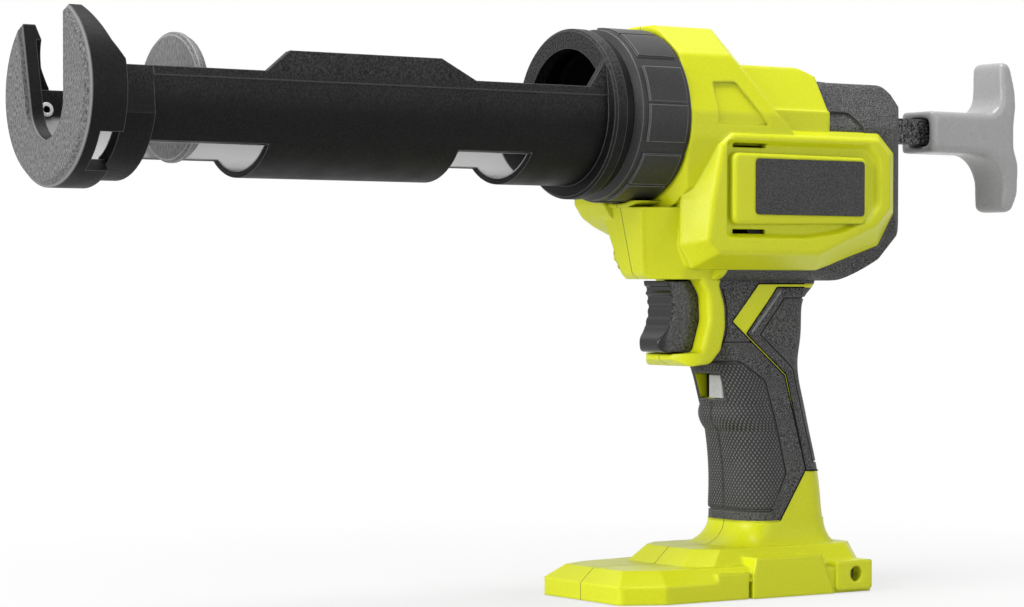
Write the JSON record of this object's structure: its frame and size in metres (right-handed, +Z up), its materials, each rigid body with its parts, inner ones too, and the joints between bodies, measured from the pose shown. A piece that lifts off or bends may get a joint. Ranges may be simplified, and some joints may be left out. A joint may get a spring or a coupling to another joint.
{
  "type": "cordless caulking tool",
  "caption": "Pistol-grip cordless caulking tool with an open cartridge trough, slotted front cap, toothed push rod, pull handle and battery foot.",
  "frame": {"origin": "on the flat underside of the battery foot, on the plane where the two housing halves meet", "axes": "+X to the rear along the push rod, +Y to the right side of the tool, +Z up"},
  "size_m": [0.4668, 0.0755, 0.2311],
  "materials": {
    "lime_shell": "satin moulded lime plastic",
    "soft_grip": "grained charcoal soft moulding",
    "badge": "bare charcoal plate",
    "black_plastic": "fine-grained black plastic",
    "trigger_black": "smooth black plastic",
    "cap_grey": "worn dark grey filled plastic",
    "handle_grey": "satin light grey plastic",
    "button_grey": "smooth light grey plastic",
    "steel": "machined steel",
    "bronze": "plain bronze",
    "board": "lacquered circuit board"
  },
  "bodies": {
    "housing": {"left_housing": "lime_shell", "right_housing": "lime_shell", "rear_cap": "soft_grip", "grip_sleeve": "soft_grip", "backstrap": "soft_grip", "badge_plate": "badge", "nose_ring": "black_plastic", "front_rod_guide": "black_plastic", "rear_rod_guide": "black_plastic", "motor_can": "steel", "motor_end_cap": "black_plastic", "motor_plate": "steel", "gear_cover": "steel", "idler_pin": "steel", "shaft_bushes": "bronze", "switch_body": "black_plastic", "control_board": "board", "terminal_block": "black_plastic", "contact_blades": "bronze", "housing_screws": "steel"},
    "carriage": {"cartridge_frame": "black_plastic", "front_cap": "cap_grey", "cap_rivets": "steel"},
    "collar": {"lock_collar": "black_plastic"},
    "rod": {"push_rod": "steel", "plunger_disc": "steel", "plunger_cone": "black_plastic", "plunger_screw": "steel", "pull_handle": "handle_grey", "handle_pin": "steel"},
    "drive": {"drive_shaft": "steel", "drive_pinion": "steel"},
    "clutch_gear": {"output_gear": "steel"},
    "idler": {"idler_gear": "steel"},
    "rotor": {"motor_shaft": "steel", "motor_pinion": "steel", "armature": "steel"},
    "trigger": {"trigger": "trigger_black"},
    "lock": {"lock_button": "button_grey"}
  },
  "joints": [
    {"name": "rod_slide", "type": "slide", "parent": "housing", "child": "rod", "axis": [1, 0, 0], "range_m": [-0.022, 0.188]},
    {"name": "pinion_spin", "type": "hinge", "parent": "housing", "child": "drive", "pos_m": [0.012, 0, 0.1797], "axis": [0, 1, 0], "range_deg": [-150, 1210]},
    {"name": "motor_spin", "type": "hinge", "parent": "housing", "child": "rotor", "pos_m": [0.00954, 0, 0.15416], "axis": [0, 1, 0], "continuous": true},
    {"name": "idler_spin", "type": "hinge", "parent": "housing", "child": "idler", "pos_m": [0.02924, 0, 0.15764], "axis": [0, 1, 0], "continuous": true},
    {"name": "output_spin", "type": "hinge", "parent": "housing", "child": "clutch_gear", "pos_m": [0.012, 0, 0.1797], "axis": [0, 1, 0], "continuous": true},
    {"name": "carriage_turn", "type": "hinge", "parent": "housing", "child": "carriage", "pos_m": [-0.066, 0, 0.1943], "axis": [1, 0, 0], "continuous": true},
    {"name": "collar_twist", "type": "hinge", "parent": "housing", "child": "collar", "pos_m": [-0.048, 0, 0.1943], "axis": [1, 0, 0], "range_deg": [0, 60]},
    {"name": "trigger_pull", "type": "slide", "parent": "housing", "child": "trigger", "axis": [1, 0, 0], "range_m": [0, 0.006], "stiffness_N_per_m": 900, "springref_m": -0.004},
    {"name": "lock_slide", "type": "slide", "parent": "housing", "child": "lock", "axis": [0, 1, 0], "range_m": [0, 0.0076]}
  ],
  "couplings": [
    {"joint": "pinion_spin", "follows": "rod_slide", "rad_per_m": 111.11},
    {"joint": "idler_spin", "follows": "motor_spin", "ratio": -0.25},
    {"joint": "output_spin", "follows": "motor_spin", "ratio": 0.068182}
  ]
}
